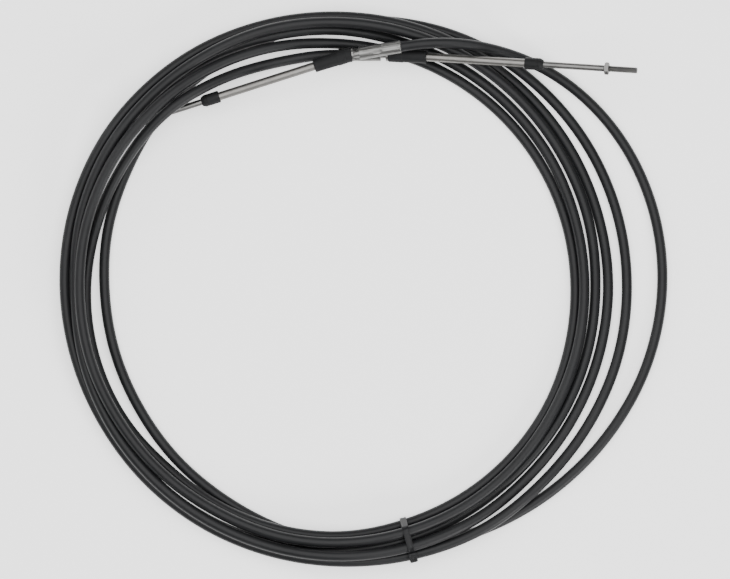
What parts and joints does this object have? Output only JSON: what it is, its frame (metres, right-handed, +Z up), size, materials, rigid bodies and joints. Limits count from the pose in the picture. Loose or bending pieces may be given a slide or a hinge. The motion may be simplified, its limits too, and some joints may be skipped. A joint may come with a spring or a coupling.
{
  "type": "push-pull control cable",
  "caption": "Coiled push-pull control cable for a boat: black jacketed conduit in a tied coil, crimped hubs, swivelling support sleeves and sliding threaded rods at both ends.",
  "frame": {"origin": "on the floor under the middle of the bounding box of the coil with both its ends", "axes": "the coil lies flat: +Z up along the coil's axis, +X along the coil's longest width, the way end B points, +Y towards the side where both cable ends lie"},
  "size_m": [0.4538, 0.4144, 0.0496],
  "materials": {
    "jacket_plastic": "satin extruded polyethylene",
    "crimped_steel": "bright, crimped",
    "boot_rubber": "matt moulded rubber",
    "seal_rubber": "matt moulded rubber",
    "stainless_tube": "satin ground stainless steel",
    "tie_nylon": "satin moulded nylon"
  },
  "bodies": {
    "coil": {"outer_jacket": "jacket_plastic", "hub_a": "crimped_steel", "hub_b": "crimped_steel", "swivel_boot_a": "boot_rubber", "swivel_boot_b": "boot_rubber", "support_sleeve_a": "stainless_tube", "wiper_seal_a": "seal_rubber", "cable_tie": "tie_nylon"},
    "sleeve_b": {"support_sleeve_b": "stainless_tube", "wiper_seal_b": "seal_rubber"},
    "rod_a": {"rod_a": "stainless_tube", "nut_a": "stainless_tube"},
    "rod_b": {"rod_b": "stainless_tube", "nut_b": "stainless_tube"}
  },
  "joints": [
    {"name": "rod_a_slide", "type": "slide", "parent": "coil", "child": "rod_a", "axis": [-0.9521, -0.302, -0.0488], "range_m": [-0.0381, 0.0381]},
    {"name": "sleeve_b_lift", "type": "hinge", "parent": "coil", "child": "sleeve_b", "pos_m": [0.02045, 0.17473, 0.01414], "axis": [-0.0708, -0.9975, 0], "range_deg": [0, 2.9], "deforming": ["swivel_boot_b"]},
    {"name": "rod_b_slide", "type": "slide", "parent": "sleeve_b", "child": "rod_b", "axis": [0.9814, -0.0697, 0.1788], "range_m": [-0.0381, 0.0381]}
  ],
  "couplings": [
    {"joint": "rod_b_slide", "follows": "rod_a_slide", "ratio": -1}
  ]
}
